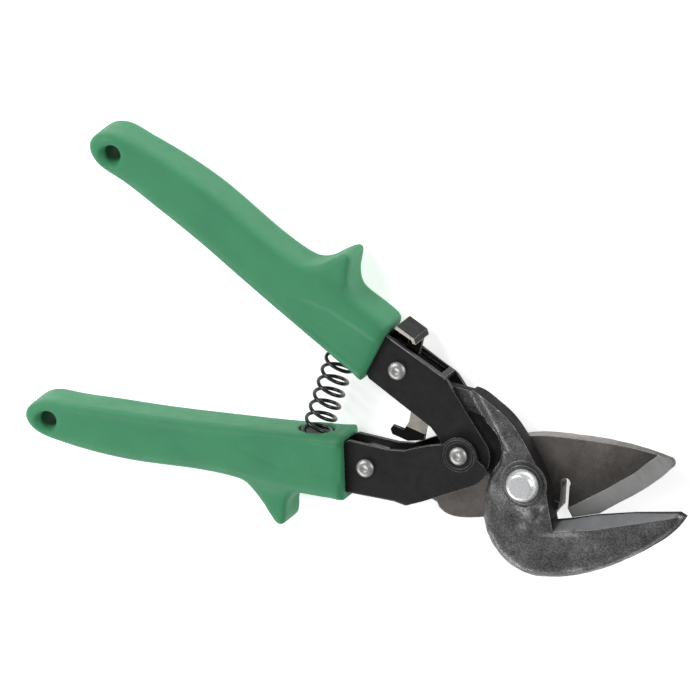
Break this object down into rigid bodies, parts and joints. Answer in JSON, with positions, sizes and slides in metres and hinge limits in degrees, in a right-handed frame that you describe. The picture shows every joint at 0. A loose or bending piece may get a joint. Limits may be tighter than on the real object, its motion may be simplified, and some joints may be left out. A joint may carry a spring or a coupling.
{
  "type": "aviation snips",
  "caption": "Compound-action offset aviation snips with green moulded grips, black channel frames, forged jaws, return spring and thumb latch.",
  "frame": {"origin": "centre of the pivot nut's outer face, on the main pivot axis, at the level the tool rests on", "axes": "+Z along all pivot axes towards the bolt head; +X along the linkage's middle line towards the jaw tips; +Y towards the upper handle"},
  "size_m": [0.2341, 0.1116, 0.0213],
  "materials": {
    "forged_blade": "forged steel, fine scale, ground cutting bevel",
    "forged_blade_brown": "forged steel, brown-grey, ground land beside the edge",
    "zinc_bolt": "bright zinc plate",
    "black_sheet": "satin black e-coat",
    "rivet_steel": "bright peened steel",
    "spacer_steel": "plain turned steel",
    "green_grip": "soft moulded grip, fine satin texture",
    "peg_plastic": "matt black plastic",
    "spring_wire": "black oiled spring wire",
    "latch_plate": "blackened steel with worn bright edges",
    "leaf_steel": "spring steel strip"
  },
  "bodies": {
    "lower_handle": {"lower_frame": "black_sheet", "lower_grip": "green_grip", "lower_tang_rivet": "rivet_steel", "lower_tang_spacer": "spacer_steel", "handle_rivet": "rivet_steel", "handle_rivet_sleeve": "spacer_steel", "handle_washer_front": "spacer_steel", "handle_washer_back": "spacer_steel", "lower_spring_peg": "peg_plastic", "return_spring": "spring_wire"},
    "upper_handle": {"upper_frame": "black_sheet", "upper_grip": "green_grip", "upper_tang_rivet": "rivet_steel", "upper_tang_spacer": "spacer_steel", "upper_spring_peg": "peg_plastic", "latch_leaf_spring": "leaf_steel"},
    "rear_blade": {"rear_blade": "forged_blade_brown", "pivot_bolt": "zinc_bolt", "pivot_nut": "zinc_bolt", "bolt_washer": "zinc_bolt", "nut_washer": "zinc_bolt"},
    "front_blade": {"front_blade": "forged_blade"},
    "latch": {"latch": "latch_plate"}
  },
  "joints": [
    {"name": "handle_squeeze", "type": "hinge", "parent": "lower_handle", "child": "upper_handle", "pos_m": [-0.02422, 0, 0.0098], "axis": [0, 0, 1], "range_deg": [0, 28], "stiffness_Nm_per_rad": 2.45, "springref_deg": -18.68, "deforming": ["return_spring"]},
    {"name": "rear_blade_pivot", "type": "hinge", "parent": "lower_handle", "child": "rear_blade", "pos_m": [-0.05389, -0.01856, 0.0098], "axis": [0, 0, 1], "range_deg": [0, 6]},
    {"name": "main_pivot", "type": "hinge", "parent": "rear_blade", "child": "front_blade", "pos_m": [0, 0, 0.0098], "axis": [0, 0, 1], "range_deg": [0, 16.2]},
    {"name": "latch_slide", "type": "slide", "parent": "upper_handle", "child": "latch", "axis": [0.975, -0.2223, 0], "range_m": [0, 0.003]}
  ],
  "couplings": [
    {"joint": "rear_blade_pivot", "follows": "handle_squeeze", "ratio": 0.2125},
    {"joint": "main_pivot", "follows": "handle_squeeze", "ratio": 0.575}
  ]
}
